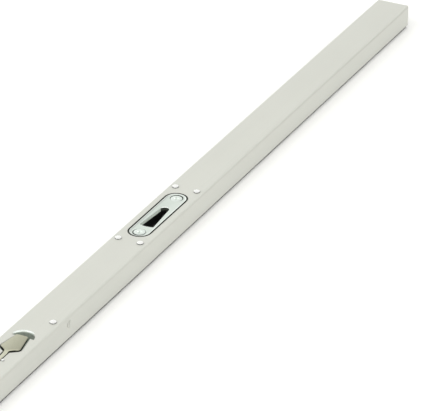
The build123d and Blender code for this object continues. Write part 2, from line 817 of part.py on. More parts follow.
def make_housing_side_screws():
    """Flush screws through the side walls into the housing."""
    screws = []
    z = face_z - side_screw_drop
    for side in (-1, 1):
        outer = face_width / 2
        low, high = span(side, inner_half, outer)
        head = cross_rod(side_screw_x, z, low, high, side_screw_head)
        low, high = span(side, outer - side_screw_length, inner_half)
        shank = cross_rod(side_screw_x, z, low, high, side_screw_radius)
        low, high = span(side, outer - side_screw_slot, outer + 1)
        slot = block(side_screw_x - side_screw_slot / 2, side_screw_x + side_screw_slot / 2, low, high,
                     z - side_screw_head - 1, z + side_screw_head + 1)
        screws.append(head + shank - slot)
    return group(screws)


def make_keep_plate(centre):
    """Keep plate: round-ended, with a raised rim, sunk screw seats and the tapered slot."""
    plate = obround(centre, keep_length, keep_width, keep_floor, face_z)
    cuts = [obround(centre, keep_length - 2 * keep_rim, keep_width - 2 * keep_rim, keep_field, face_z + 1)]
    cuts.append(flat_prism(tapered_slot(centre), keep_floor - 1, face_z + 1))
    for side in (-1, 1):
        x = centre + side * keep_screw_reach
        seat = keep_field - keep_head_seat
        cuts.append(post(x, 0, seat, face_z + 1, keep_screw_head + keep_head_gap))
        cuts.append(Pos(x, 0, seat) * countersink(keep_screw_head, keep_screw_radius, keep_thickness + 1))
    return plate - cuts


def make_keep_screws(centre):
    """Countersunk screws that hold a keep plate to its carrier."""
    screw = countersunk_screw(keep_screw_head, keep_screw_radius, keep_screw_length)
    seat = keep_field - keep_head_seat
    return group(Pos(centre + side * keep_screw_reach, 0, seat) * screw for side in (-1, 1))


def make_keep_carrier(centre):
    """Cast carrier riveted behind the face: plate seat, window, screw bosses and posts to the cover."""
    half = inner_half - housing_side_gap
    reach = carrier_length / 2
    body = block(centre - reach, centre + reach, -half, half, carrier_floor, inner_top)
    boss_low = carrier_floor - carrier_boss_drop
    for side in (-1, 1):
        body = body + post(centre + side * keep_screw_reach, 0, boss_low, carrier_floor, carrier_boss_radius)
    for x, y in face_rivet_places(centre):
        body = body + post(x, y, cover_thickness, carrier_floor, carrier_post_radius)
    length = keep_length + 2 * keep_gap
    width = keep_width + 2 * keep_gap
    cuts = [obround(centre, length, width, keep_floor, inner_top + 1)]
    cuts.append(obround(centre + window_shift, window_length, window_width, carrier_floor - 1, inner_top + 1))
    for side in (-1, 1):
        cuts.append(post(centre + side * keep_screw_reach, 0, boss_low - 1, inner_top, keep_screw_radius))
        screw_x = centre + side * carrier_rivet_reach
        cuts.append(post(screw_x, side * rivet_y, 0, cover_screw_length, cover_screw_radius))
    for x, y in face_rivet_places(centre):
        cuts.append(post(x, y, face_z - rivet_depth, inner_top + 1, rivet_radius))
    return body - cuts


def make_carrier_rivets(centre):
    """Four rivets that hold a keep carrier to the face."""
    return group(rivet(x, y, rivet_head_radius, rivet_head_height, rivet_radius, rivet_depth)
                 for x, y in face_rivet_places(centre))


def make_dust_box(centre):
    """Moulded dust box under the carrier's window, with a spigot that enters it."""
    middle = centre + window_shift
    length = window_length - 2 * dust_gap
    width = window_width - 2 * dust_gap
    body = obround(middle, length + 2 * dust_wall, width + 2 * dust_wall, dust_floor, carrier_floor)
    body = body + obround(middle, length, width, carrier_floor, carrier_floor + dust_spigot)
    inner_length = length - 2 * dust_wall
    inner_width = width - 2 * dust_wall
    top = carrier_floor + dust_spigot + 1
    return body - obround(middle, inner_length, inner_width, dust_floor + dust_wall, top)


def guide_rivet_places():
    """Places of all rivets that hold the rod guides."""
    return [(end * x, side * guide_rivet_y) for end in (-1, 1) for x in guide_places for side in (-1, 1)]


def make_rod_guides(end):
    """Moulded bridges that keep a drive rod straight."""
    guides = []
    slot_half = rod_width / 2 + guide_clearance
    for place in guide_places:
        x0 = end * place - guide_length / 2
        x1 = end * place + guide_length / 2
        top = cover_thickness + guide_height
        body = block(x0, x1, -guide_half, guide_half, cover_thickness, top)
        slot_top = rack_top + guide_clearance
        body = body - block(x0 - 1, x1 + 1, -slot_half, slot_half, cover_thickness - 1, slot_top)
        for side in (-1, 1):
            body = body - post(end * place, side * guide_rivet_y, 0, top + 1, guide_rivet_radius)
        guides.append(body)
    return group(guides)


def make_guide_rivets():
    """Flush rivets through the rod guides and the back cover."""
    top = cover_thickness + guide_height
    return group(post(x, y, 0, top, guide_rivet_radius) for x, y in guide_rivet_places())


pieces = {
    "face_channel": make_face_channel(),
    "back_cover": make_back_cover(),
    "back_cover_screws": make_back_cover_screws(),
    "lever_housing": make_lever_housing(),
    "housing_rivets": make_housing_rivets(),
    "neck_stakes": make_neck_stakes(),
    "housing_side_screws": make_housing_side_screws(),
    "flip_lever": make_flip_lever(),
    "lever_gear_plates": make_lever_gear_plates(),
    "lever_gear_rivets": make_lever_gear_rivets(),
    "pivot_pin": make_pivot_pin(),
    "pivot_washers": make_pivot_washers(),
    "drag_spring": make_drag_spring(),
    "rack_bar": make_rack_bar(),
    "counter_rack": make_counter_rack(),
    "idler_pinion": make_idler_pinion(),
    "idler_stud": make_idler_stud(),
    "upper_lap_rivets": make_lap_rivets(upper_lap_start()),
    "lower_lap_rivets": make_lap_rivets(lower_lap_start()),
    "guide_rivets": make_guide_rivets(),
}
for level, end in (("upper", 1), ("lower", -1)):
    centre = end * keep_offset
    pieces[level + "_keep_plate"] = make_keep_plate(centre)
    pieces[level + "_keep_screws"] = make_keep_screws(centre)
    pieces[level + "_keep_carrier"] = make_keep_carrier(centre)
    pieces[level + "_carrier_rivets"] = make_carrier_rivets(centre)
    pieces[level + "_dust_box"] = make_dust_box(centre)
    pieces[level + "_drive_rod"] = make_drive_rod(end)
    pieces[level + "_end_bolt"] = make_end_bolt(end)
    pieces[level + "_bolt_pins"] = make_bolt_pins(end)
    pieces[level + "_rod_guides"] = make_rod_guides(end)
    pieces[level + "_end_block"] = make_end_block(end)

os.makedirs("parts", exist_ok=True)
for name, shape in pieces.items():
    export_step(shape, "parts/" + name + ".step")
    print(name)
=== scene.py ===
"""Looks of a slim boxed multipoint lock bar: finer surfaces, finishes and a plain studio stage.

Sizes in the named values are in millimetres and become metres through MM. Meshes are in the frame of
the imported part: X along the bar to its top end, Y across the face, Z out of the face.
"""
import math

import bmesh
import bpy
import numpy as np
from bpy.props import FloatProperty, FloatVectorProperty, PointerProperty
from bpy.types import Operator, Panel, PropertyGroup
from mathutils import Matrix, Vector
from mathutils.geometry import tessellate_polygon


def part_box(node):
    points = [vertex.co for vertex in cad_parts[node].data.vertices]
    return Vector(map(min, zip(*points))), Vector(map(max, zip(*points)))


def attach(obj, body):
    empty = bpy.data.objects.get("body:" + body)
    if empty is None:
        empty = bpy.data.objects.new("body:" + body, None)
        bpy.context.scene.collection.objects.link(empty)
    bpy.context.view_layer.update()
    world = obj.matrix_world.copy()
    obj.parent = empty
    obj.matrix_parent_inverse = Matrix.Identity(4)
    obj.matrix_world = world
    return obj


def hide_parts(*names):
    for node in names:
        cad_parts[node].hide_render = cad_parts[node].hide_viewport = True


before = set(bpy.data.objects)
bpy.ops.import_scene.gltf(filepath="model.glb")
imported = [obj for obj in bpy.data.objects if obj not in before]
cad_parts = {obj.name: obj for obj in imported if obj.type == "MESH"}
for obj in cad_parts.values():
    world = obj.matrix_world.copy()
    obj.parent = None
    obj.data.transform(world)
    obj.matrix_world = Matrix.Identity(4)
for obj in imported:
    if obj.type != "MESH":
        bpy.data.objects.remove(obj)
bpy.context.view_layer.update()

bl_info = {
    "name": "Lock bar looks",
    "version": (1, 0, 0),
    "blender": (4, 5, 0),
    "location": "3D View > Sidebar > Lock bar",
    "description": "Builds the visible surfaces and finishes of a multipoint lock bar",
    "category": "Object",
}

MM = 0.001

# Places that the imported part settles, in millimetres
channel_low, channel_high = [np.array(corner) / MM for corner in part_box("face_channel")]
bar_end = channel_high[0]
side_y = channel_high[1]
face_z = channel_high[2]
back_edge_z = channel_low[2]
keep_centres = {level: float(np.mean([corner[0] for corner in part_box(level + "_keep_plate")])) / MM
                for level in ("upper", "lower")}

# Sheet of the channel
wall = 1.5
inner_top = face_z - wall
inner_y = side_y - wall
foot_roll = 1.1
opening_roll = 0.5

# Painted shade in a band below the folds, darker than the rest of the coat: half its height, where it
# starts and is full along the bar, and its depth of tone at the two places
fold_shade_reach = 1.5
fold_shade_span = (100.0, 600.0)
fold_shade_depth = (0.25, 0.8)

# Flip lever and its opening: corner circles of the paddle as length, distance from the middle, radius; the
# bevel's start and end in degrees round the notch, and the factor on the rounding that counts as bevel
pivot_z = face_z - 7.5
hub_radius = 5.4
hub_bore = 2.05
paddle_tip_x = 56.2
paddle_tip = (55.0, 3.9, 1.2)
paddle_wide = (39.5, 5.0, 3.0)
paddle_heel = (33.9, 0.7, 1.0)
paddle_gap = 1.2
paddle_proud = 1.4
paddle_crown_radius = 36.0
paddle_skirt = 2.0
paddle_least = 1.2
paddle_foot_inset = 0.5
paddle_step = 0.5
paddle_spine = (29.0, 52.0)
stub_start_x = 27.0
stub_sink = 0.15
heel_rise = (28.5, 36.0)
neck_tone = (28.0, 36.0)
lever_edge = 0.35
neck_half = 1.7
neck_gap = 0.9
heel_blend = 1.5
notch_radius = 9.2
notch_centre_x = 55.6
bevel_starts = (-44.0, -12.0)
bevel_ends = (64.0, 80.0)
bevel_least = 1.2
slot_end_x = -10.5
blade_top = face_z - 0.3
blade_bottom = blade_top - 5.7
blade_elbow_x = 12.0
blade_shoulder_x = 6.0
shoulder_radius = 1.0
rib_start_x = 34.0
rib_tip_x = 50.2
rib_tip_drop = 0.5

# Keep plate
keep_length = 76.8
keep_width = 17.4
keep_gap = 1.0
keep_thickness = 3.2
keep_edge = 0.3
keep_rim = 0.5
keep_slope = 1.1
keep_field_drop = 0.4
slot_wide = 12.0
slot_narrow = 7.2
slot_start = -20.4
slot_end = 14.4
slot_bow = 1.0
slot_roll = 0.4
slot_end_margin = 0.1

# Screws of the keep plate, which sit off centre in their seats. Their cross has half widths at its floor and
# mouth, distances between which its arms run out, a turn in degrees, and a share of its depth that is dull
keep_screw_reach = 30.8
keep_screw_head = 4.7
keep_screw_radius = 2.9
keep_screw_length = 10.0
screw_shoulder = 0.25
screw_crown_rise = 0.15
screw_crown_fall = 0.2
screw_play = 0.05
bore_play = 0.1
seat_radius = 5.35
seat_shift = 0.6
seat_depth = 1.1
cross_flank = (0.3, 0.75)
cross_taper = (1.05, 3.0)
cross_depth = 0.9
cross_turn = 20.0
cross_dull_share = 0.3

# Rivets and the screw in the side wall
rivet_head_radius = 2.7
rivet_head_height = 0.9
rivet_radius = 1.6
rivet_depth = 4.6
stake_radius = 1.2
stake_head_height = 0.6
stake_shank_radius = 0.7
stake_depth = 2.0
side_screw_head = 2.5

# Meshes: distances within which points merge and slivers go, and the angle past which an edge stays sharp
merge_reach = 0.0005
sliver_reach = 0.0002
sharp_angle = 40.0

# Camera, fitted to the photo's edges: place in metres from the face, tilt and turn in degrees, lens in mm
camera_place = (-1.5261, -0.9624, 1.0930)
camera_tilt = 28.0761
camera_turn = 63.1329
camera_lens = 241.35
sensor_width = 36.0

# Studio in metres: half the floor's side, and the soft box's side, place and aim
floor_half = 6.0
soft_box_side = 0.8
soft_box_place = (-0.4, 0.62, 1.15)
soft_box_aim = (0.5, -0.62, -1.15)


# Arrays of points

def arc(centre, radius, start, end, count=12):
    """Arc in the plane: the centre plus the radius times the cosine and sine of evenly spread degrees."""
    angles = np.radians(np.linspace(start, end, count))
    return np.stack([centre[0] + radius * np.cos(angles), centre[1] + radius * np.sin(angles)], axis=1)


def circle(centre, radius, count=48):
    """Closed ring of points round a centre, counterclockwise."""
    return arc(centre, radius, 0.0, 360.0, count + 1)[:-1]


def closed(*stretches):
    """One closed outline from stretches of points, without its doubled points."""
    points = np.concatenate([np.atleast_2d(stretch) for stretch in stretches])
    step = np.linalg.norm(points - np.roll(points, 1, axis=0), axis=1)
    return points[step > 1e-6]


def mirrored(half):
    """Outline closed by its own mirror image across the long axis; half runs along positive Y."""
    return closed(half, (half * (1.0, -1.0))[::-1])[::-1]


def grown(outline, distance):
    """Outline moved outwards: each point goes along the mitre of its two edges by the distance, which may
    be one for all points or one for each."""
    before = outline - np.roll(outline, 1, axis=0)
    after = np.roll(outline, -1, axis=0) - outline
    sides = [np.stack([edge[:, 1], -edge[:, 0]], axis=1) / np.linalg.norm(edge, axis=1)[:, None]
             for edge in (before, after)]
    opening = 1.0 + np.sum(sides[0] * sides[1], axis=1)
    mitre = (sides[0] + sides[1]) / np.maximum(opening, 0.2)[:, None]
    return outline + np.reshape(distance, (-1, 1)) * mitre


def divided(outline, step):
    """Outline with evenly spread points added on its long edges, so that none is longer than the step."""
    edges = np.roll(outline, -1, axis=0) - outline
    counts = np.maximum(np.ceil(np.linalg.norm(edges, axis=1) / step), 1).astype(int)
    firsts = np.repeat(np.cumsum(counts) - counts, counts)
    share = (np.arange(counts.sum()) - firsts) / np.repeat(counts, counts)
    return np.repeat(outline, counts, axis=0) + np.repeat(edges, counts, axis=0) * share[:, None]


def plan(outline, level):
    """Flat outline laid level, in plan."""
    return np.column_stack([outline, np.full(len(outline), level)])


def upright(outline, level):
    """Outline of length and height stood across the bar at one Y."""
    return np.column_stack([outline[:, 0], np.full(len(outline), level), outline[:, 1]])


def endwise(outline, level):
    """Outline of width and height stood across the bar's end at one X."""
    return np.column_stack([np.full(len(outline), level), outline])


def rolled_edge(radius, level, sign, steps=6):
    """Quarter round of an edge as (growth, level) pairs, from the flat to the wall below it.

    Growth is minus the radius times one minus the sine, and the fall one minus the cosine, of the angle."""
    angles = np.linspace(0.0, math.pi / 2, steps)
    return np.stack([-sign * radius * (1 - np.sin(angles)), level - radius * (1 - np.cos(angles))], axis=1)


def carried(outline, profile, lay=plan):
    """Grid of a profile carried round an outline: each (growth, level) pair of it is one grown ring."""
    return np.stack([lay(grown(outline, growth), level) for growth, level in profile])


def turned(profile, count=48):
    """Grid of a profile of (radius, height) pairs turned round the Z axis."""
    angles = np.linspace(0.0, 2 * math.pi, count, endpoint=False)
    radii, heights = profile[:, :1], profile[:, 1:]
    level = np.broadcast_to(heights, (len(profile), count))
    return np.stack([radii * np.cos(angles), radii * np.sin(angles), level], axis=-1)


def smooth_step(start, end, values):
    """Rise from 0 to 1 between two values, level at both ends."""
    share = np.clip((values - start) / (end - start), 0.0, 1.0)
    return share * share * (3 - 2 * share)


# Patches of a mesh, as (points, faces, smooth) and, where it has one, the place of its finish

def skin(points, ring=True):
    """Patch over a grid of points; with ring, the last column joins the first."""
    rows, columns = points.shape[:2]
    index = np.arange(rows * columns).reshape(rows, columns)
    if ring:
        index = np.concatenate([index, index[:, :1]], axis=1)
    quads = np.stack([index[:-1, :-1], index[1:, :-1], index[1:, 1:], index[:-1, 1:]], axis=-1)
    return points.reshape(-1, 3), quads.reshape(-1, 4), True


def flat(*outlines):
    """Flat patch inside the first outline and outside the others, which all lie in one plane."""
    triangles = tessellate_polygon([outline.tolist() for outline in outlines])
    return np.concatenate(outlines), np.array(triangles), False


def moved(patch, offset):
    """The same patch at another place."""
    return (patch[0] + np.array(offset), *patch[1:])


def finished(patch, place):
    """The same patch in another of its piece's finishes, for all its faces or one entry for each."""
    return (*patch[:3], place)


def piece(name, patches, materials, body, nodes=()):
    """Object of one or more closed skins. Seams and poles merge, and faces are turned outwards.

    Materials are the finishes in their order; a patch's fourth entry, where it has one, picks its finish."""
    starts = np.cumsum([0] + [len(patch[0]) for patch in patches])
    points = np.concatenate([patch[0] for patch in patches]) * MM
    faces = [face for start, patch in zip(starts, patches) for face in (patch[1] + start).tolist()]
    shading = np.concatenate([np.full(len(patch[1]), patch[2]) for patch in patches])
    choice = np.concatenate([np.full(len(patch[1]), patch[3] if len(patch) > 3 else 0) for patch in patches])
    mesh = bpy.data.meshes.new(name)
    mesh.from_pydata(points.tolist(), [], faces)
    mesh.polygons.foreach_set("use_smooth", shading)
    mesh.polygons.foreach_set("material_index", choice)
    for material in materials:
        mesh.materials.append(material)
    work = bmesh.new()
    work.from_mesh(mesh)
    bmesh.ops.remove_doubles(work, verts=work.verts, dist=merge_reach * MM)
    bmesh.ops.dissolve_degenerate(work, edges=work.edges, dist=sliver_reach * MM)
    bmesh.ops.recalc_face_normals(work, faces=work.faces)
    work.to_mesh(mesh)
    work.free()
    mesh.set_sharp_from_angle(angle=math.radians(sharp_angle))
    made = bpy.data.objects.new(name, mesh)
    bpy.context.scene.collection.objects.link(made)
    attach(made, body)
    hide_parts(*nodes)
    return made


def dress(material, *nodes):
    """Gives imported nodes, whose shapes stay, their finish."""
    for name in nodes:
        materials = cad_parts[name].data.materials
        materials.clear()
        materials.append(material)


# Outlines that several pieces share

def whole_length(low, high):
    """Rectangle over the bar's whole length, between two widths or heights."""
    return np.array([(-bar_end, low), (bar_end, low), (bar_end, high), (-bar_end, high)])


def obround(centre_x, length, width):
    """Round-ended outline: two half circles joined by straight sides."""
    radius = width / 2
    reach = length / 2 - radius
    return closed(arc((centre_x + reach, 0), radius, -90, 90, 32),
                  arc((centre_x - reach, 0), radius, 90, 270, 32))


def keep_slot(centre_x):
    """Slot of a keep plate: a shallow bow at the wide end, straight sides and a round narrow end."""
    end_half = slot_narrow / 2
    start_half = slot_wide / 2
    end_x = centre_x + slot_end - end_half
    bow_radius = (start_half ** 2 + slot_bow ** 2) / (2 * slot_bow)
    bow_angle = math.degrees(math.asin(start_half / bow_radius))
    bow_centre = (centre_x + slot_start + bow_radius, 0)
    return closed(arc((end_x, 0), end_half, -90, 90, 24),
                  arc(bow_centre, bow_radius, 180 - bow_angle, 180 + bow_angle, 13))


def facing(first, second):
    """Direction in degrees that the straight run between two corner circles faces, on their outer side.

    It is the direction from the first to the second, less the angle whose cosine is the difference of
    their radii over their distance."""
    run = (second[0] - first[0], second[1] - first[1])
    heading = math.atan2(run[1], run[0]) % (2 * math.pi)
    return math.degrees(heading - math.acos((first[2] - second[2]) / math.hypot(*run)))


def flank_x(growth, y):
    """Length at which the paddle's straight heel flank, grown by a gap, passes a distance from the middle."""
    turn = math.radians(facing(paddle_wide, paddle_heel))
    reach = paddle_wide[0] * math.cos(turn) + paddle_wide[1] * math.sin(turn) + paddle_wide[2] + growth
    return (reach - y * math.sin(turn)) / math.cos(turn)


def spoon(stub_x):
    """Outline of the paddle with its heel blends and a stub of the neck."""
    side = facing(paddle_tip, paddle_wide)
    flank = facing(paddle_wide, paddle_heel)
    blend_y = neck_half + heel_blend
    return mirrored(np.concatenate([
        [(stub_x, 0.0), (stub_x, neck_half)],
        arc((flank_x(heel_blend, blend_y), blend_y), heel_blend, -90, flank - 180, 8),
        arc(paddle_wide[:2], paddle_wide[2], flank, side, 16),
        arc(paddle_tip[:2], paddle_tip[2], side, 0, 10),
        [(paddle_tip_x, 0.0)]]))


def lever_opening():
    """Outline of the opening in the face: neck slot, paddle gap and finger notch."""
    half = neck_half + neck_gap
    side = facing(paddle_tip, paddle_wide)
    flank = facing(paddle_wide, paddle_heel)
    corner_radius = paddle_tip[2] + paddle_gap
    corner_end = math.degrees(math.acos((paddle_tip_x - paddle_tip[0]) / corner_radius))
    notch_start = math.degrees(math.acos((paddle_tip_x - notch_centre_x) / notch_radius))
    return mirrored(np.concatenate([
        [(slot_end_x, 0.0), (slot_end_x, half), (flank_x(paddle_gap, half), half)],
        arc(paddle_wide[:2], paddle_wide[2] + paddle_gap, flank, side, 20),
        arc(paddle_tip[:2], corner_radius, side, corner_end, 8),
        arc((notch_centre_x, 0), notch_radius, notch_start, 0, 32)]))


def outer_centres(box, radius):
    """Lowest and highest centres of the round heads that fill a packed box, in millimetres."""
    low, high = [np.array(corner) / MM for corner in box]
    return low + radius, high - radius


def carrier_rivet_places(level):
    """Places of the four rivets round a keep plate."""
    low, high = outer_centres(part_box(level + "_carrier_rivets"), rivet_head_radius)
    return [(x, y) for x in (low[0], high[0]) for y in (low[1], high[1])]


def housing_rivet_places():
    """Places of the two rivets that hold the lever's housing, on a diagonal."""
    low, high = outer_centres(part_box("housing_rivets"), rivet_head_radius)
    return [(low[0], high[1]), (high[0], low[1])]


def stake_places():
    """Places of the two small rivets beside the neck."""
    low, high = outer_centres(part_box("neck_stakes"), stake_radius)
    return [(high[0], y) for y in (low[1], high[1])]


def side_screw_place():
    """Length and height of the screws in the side walls."""
    low, high = outer_centres(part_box("housing_side_screws"), side_screw_head)
    return (low[0] + high[0]) / 2, (low[2] + high[2]) / 2


# Materials

def linear(text):
    """Linear RGBA of an sRGB hex value."""
    levels = [int(text[place:place + 2], 16) / 255 for place in (0, 2, 4)]
    curved = [((level + 0.055) / 1.055) ** 2.4 if level > 0.04045 else level / 12.92 for level in levels]
    return (*curved, 1.0)


def add(tree, kind, inputs=None, **settings):
    """Adds a node; its inputs are set to values, or linked where the value is a socket."""
    made = tree.nodes.new(kind)
    for name, value in settings.items():
        setattr(made, name, value)
    for name, value in (inputs or {}).items():
        if isinstance(value, bpy.types.NodeSocket):
            tree.links.new(value, made.inputs[name])
        else:
            made.inputs[name].default_value = value
    return made


def start(name, **surface):
    """New material with its shader, and the object's own coordinates in metres."""
    made = bpy.data.materials.new(name)
    made.use_nodes = True
    tree = made.node_tree
    tree.nodes.clear()
    shader = add(tree, "ShaderNodeBsdfPrincipled", surface)
    add(tree, "ShaderNodeOutputMaterial", {"Surface": shader.outputs["BSDF"]})
    place = add(tree, "ShaderNodeTexCoord").outputs["Object"]
    return made, tree, shader, place


def worked(tree, shader, place, spacing, colours, roughness, relief):
    """Tool marks or grain of one spacing in mm along X, Y and Z, which shift colour, gloss and relief."""
    scaled = add(tree, "ShaderNodeMapping", {"Vector": place, "Scale": [1 / (step * MM) for step in spacing]})
    grain = add(tree, "ShaderNodeTexNoise", {"Vector": scaled.outputs["Vector"], "Scale": 1.0, "Detail": 3.0})
    marks = grain.outputs["Fac"]
    tone = add(tree, "ShaderNodeMix", {"Factor": marks, "A": colours[0], "B": colours[1]}, data_type="RGBA")
    gloss = add(tree, "ShaderNodeMapRange", {"Value": marks, "From Min": 0.3, "From Max": 0.7,
                                             "To Min": roughness[0], "To Max": roughness[1]})
    bump = add(tree, "ShaderNodeBump", {"Height": marks, "Strength": 1.0, "Distance": relief * MM})
    tree.links.new(tone.outputs[2], shader.inputs["Base Color"])
    tree.links.new(gloss.outputs["Result"], shader.inputs["Roughness"])
    tree.links.new(bump.outputs["Normal"], shader.inputs["Normal"])
    return tone


def grained(name, spacing, tones, roughness, relief, **surface):
    """New material with one grain and nothing else; its two tones are hex text or the panel's colours."""
    made, tree, shader, place = start(name, **surface)
    colours = [linear(tone) if isinstance(tone, str) else tone for tone in tones]
    worked(tree, shader, place, spacing, colours, roughness, relief)
    return made


def satin_powder_coat():
    """Polyester powder, sprayed on steel sheet and baked: an even satin skin with a fine orange peel,
    1.3 mm from bump to bump, and faint clouds 45 mm across where the film is thicker. A band just below
    the folds is painted a little deeper in tone as shade, most at the bar's top end."""
    looks = bpy.context.scene.lock_colours
    made, tree, shader, place = start("satin_powder_coat", Roughness=0.42, IOR=1.5)
    cloud = add(tree, "ShaderNodeTexNoise", {"Vector": place, "Scale": 1 / (45 * MM), "Detail": 3.0})
    shade = add(tree, "ShaderNodeMix", {"Factor": cloud.outputs["Fac"], "A": looks.coat_light,
                                        "B": looks.coat_deep}, data_type="RGBA")
    peel = add(tree, "ShaderNodeTexNoise", {"Vector": place, "Scale": 1 / (1.3 * MM), "Detail": 2.0})
    bump = add(tree, "ShaderNodeBump", {"Height": peel.outputs["Fac"], "Strength": 1.0,
                                        "Distance": 0.012 * MM})
    where = add(tree, "ShaderNodeSeparateXYZ", {"Vector": place})
    below = add(tree, "ShaderNodeMath", {0: where.outputs["Z"], 1: (face_z - fold_shade_reach) * MM},
                operation="SUBTRACT")
    apart = add(tree, "ShaderNodeMath", {0: below.outputs["Value"]}, operation="ABSOLUTE")
    most = add(tree, "ShaderNodeMapRange", {"Value": where.outputs["X"], "From Min": fold_shade_span[0] * MM,
                                            "From Max": fold_shade_span[1] * MM, "To Min": fold_shade_depth[0],
                                            "To Max": fold_shade_depth[1]})
    fold_shade = add(tree, "ShaderNodeMapRange", {"Value": apart.outputs["Value"], "From Max": fold_shade_reach * MM,
                                               "To Min": most.outputs["Result"], "To Max": 0.0},
                  interpolation_type="SMOOTHSTEP")
    # Painted shade: the band below the folds mixes the coat toward a darker grey.
    tone = add(tree, "ShaderNodeMix", {"Factor": fold_shade.outputs["Result"], "A": shade.outputs[2],
                                       "B": linear("A6A7A0")}, data_type="RGBA")
    tree.links.new(tone.outputs[2], shader.inputs["Base Color"])
    tree.links.new(bump.outputs["Normal"], shader.inputs["Normal"])
    return made


def painted_shade_edge():
    """Dark olive grey painted as shade on the sheet's opening walls and rounded foot, where the gaps and the
    line along the floor fall dark; upright tear lines 0.3 mm apart."""
    return grained("painted_shade_edge", (0.3, 0.3, 2.0), ("42463F", "373B35"), (0.5, 0.7), 0.02, IOR=1.5)


def painted_screw():
    """Steel screw coated with the sheet: the same grey, a little duller."""
    looks = bpy.context.scene.lock_colours
    return grained("painted_screw", (1.3, 1.3, 1.3), (looks.coat_light, looks.coat_deep), (0.42, 0.55), 0.012,
                   IOR=1.5)


def stamped_zinc():
    """Steel stamping, zinc plated and clear passivated: pale grey with a cool green tinge, matt crystals
    of 0.7 mm that break up the sheen."""
    looks = bpy.context.scene.lock_colours
    return grained("stamped_zinc", (0.7, 0.7, 0.7), (looks.zinc, "CFD8D1"), (0.34, 0.46), 0.012, Metallic=1.0)


def painted_highlight_zinc():
    """The same plating, painted nearly white and glossier as highlight on the keep rims and the notch bevel,
    with marks along the bar.
    """
    return grained("painted_highlight_zinc", (4.0, 0.3, 0.3), ("F2F6F3", "E6ECE8"), (0.24, 0.36), 0.006, Metallic=1.0)


def painted_shade_zinc():
    """Dark grey green painted as shade on the keep plates' outer edges and walls, screw seats and the slot's
    narrow end; soft pits.
    """
    return grained("painted_shade_zinc", (0.6, 0.6, 0.6), ("434841", "383C37"), (0.5, 0.65), 0.015, Metallic=0.25)


def slot_and_lit_notch_zinc():
    """Pale grey green with upright drag lines: the keep slot's own plated wall, and the finger notch's wall
    in the face painted pale as lit.
    """
    return grained("slot_and_lit_notch_zinc", (0.4, 0.4, 3.0), ("D8E1D7", "C6CFC4"), (0.45, 0.6), 0.02, Metallic=0.2)


def turned_zinc():
    """Cold-headed screw, bright zinc plate: white metal with a faint blue cast and fine die marks."""
    return grained("turned_zinc", (0.5, 0.5, 0.5), ("EAF1ED", "D4DDD7"), (0.28, 0.42), 0.01, Metallic=1.0)


def headed_aluminium():
    """Aluminium rivet, set with a polished die: the brightest metal here, with faint setting marks."""
    return grained("headed_aluminium", (0.6, 0.6, 0.6), ("F4F4F3", "EAEBEA"), (0.2, 0.32), 0.006,
                   Metallic=1.0)


def tumbled_nickel():
    """Zinc casting, tumbled and nickel plated: warm khaki satin with fine marks along it. The neck is
    paler than the paddle, blended by a smooth step along the bar."""
    looks = bpy.context.scene.lock_colours
    made, tree, shader, place = start("tumbled_nickel", Metallic=1.0)
    tone = worked(tree, shader, place, (2.4, 0.35, 0.35), (looks.nickel, linear("ABAB98")), (0.36, 0.46),
                  0.008)
    along = add(tree, "ShaderNodeSeparateXYZ", {"Vector": place})
    share = add(tree, "ShaderNodeMapRange", {"Value": along.outputs["X"], "From Min": neck_tone[0] * MM,
                                             "From Max": neck_tone[1] * MM}, interpolation_type="SMOOTHSTEP")
    mixed = add(tree, "ShaderNodeMix", {"Factor": share.outputs["Result"], "A": looks.nickel_neck,
                                        "B": tone.outputs[2]}, data_type="RGBA")
    tree.links.new(mixed.outputs[2], shader.inputs["Base Color"])
    return made


def painted_shade_flank():
    """Sides and underside of the lever, painted dark olive grey as the shade in the gaps round the paddle and
    neck; grainy and dull.
    """
    return grained("painted_shade_flank", (0.5, 0.5, 0.5), ("2C2D22", "22231B"), (0.5, 0.65), 0.02, Metallic=0.3)


def cast_zinc():
    """Zinc die casting, tumbled: mid grey oxide skin with a soft sheen and pits of half a millimetre."""
    return grained("cast_zinc", (0.5, 0.5, 0.5), ("AEB6AC", "9BA399"), (0.48, 0.62), 0.02, Metallic=0.25)


def mill_aluminium():
    """Extruded aluminium, mill finish, painted soft dark grey as shade, for the back cover in the gap under
    the side walls and for the rivets' sides; long die lines along the bar, 0.4 mm apart."""
    return grained("mill_aluminium", (60.0, 0.4, 0.4), ("6C6E6B", "5E605D"), (0.36, 0.5), 0.008, Metallic=1.0)


def galvanised_strip():
    """Hot-dip galvanised strip: pale grey with crystal spangles about 5 mm across, each of its own tone."""
    made, tree, shader, place = start("galvanised_strip", Metallic=1.0)
    worked(tree, shader, place, (0.8, 0.8, 0.8), (linear("B2B4B2"), linear("9A9C9A")), (0.38, 0.52), 0.01)
    spangle = add(tree, "ShaderNodeTexVoronoi", {"Vector": place, "Scale": 1 / (5 * MM)})
    tone = add(tree, "ShaderNodeMix", {"Factor": spangle.outputs["Distance"], "A": linear("B6B8B6"),
                                       "B": linear("979A98")}, data_type="RGBA")
    tree.links.new(tone.outputs[2], shader.inputs["Base Color"])
    return made


def ground_steel():
    """Cut and ground steel, oiled: mid grey, glossy, with grinding lines 0.25 mm apart across the bar."""
    return grained("ground_steel", (0.25, 3.0, 3.0), ("8E8E90", "7A7A7D"), (0.24, 0.36), 0.006, Metallic=1.0)


def turned_bronze():
    """Turned bronze washer: warm brown gold with fine tool marks."""
    return grained("turned_bronze", (0.3, 0.3, 0.3), ("BE9059", "A87C4A"), (0.28, 0.4), 0.006, Metallic=1.0)


def blued_spring():
    """Hardened spring strip, blued: dark blue grey with a lengthwise rolling grain."""
    return grained("blued_spring", (5.0, 0.3, 0.3), ("4C515C", "3E424C"), (0.28, 0.42), 0.005, Metallic=1.0)


def moulded_nylon():
    """Glass-filled nylon, injection moulded: black, with the fine spark texture of its mould."""
    return grained("moulded_nylon", (0.35, 0.35, 0.35), ("171716", "0F0F0F"), (0.42, 0.58), 0.015, IOR=1.53)
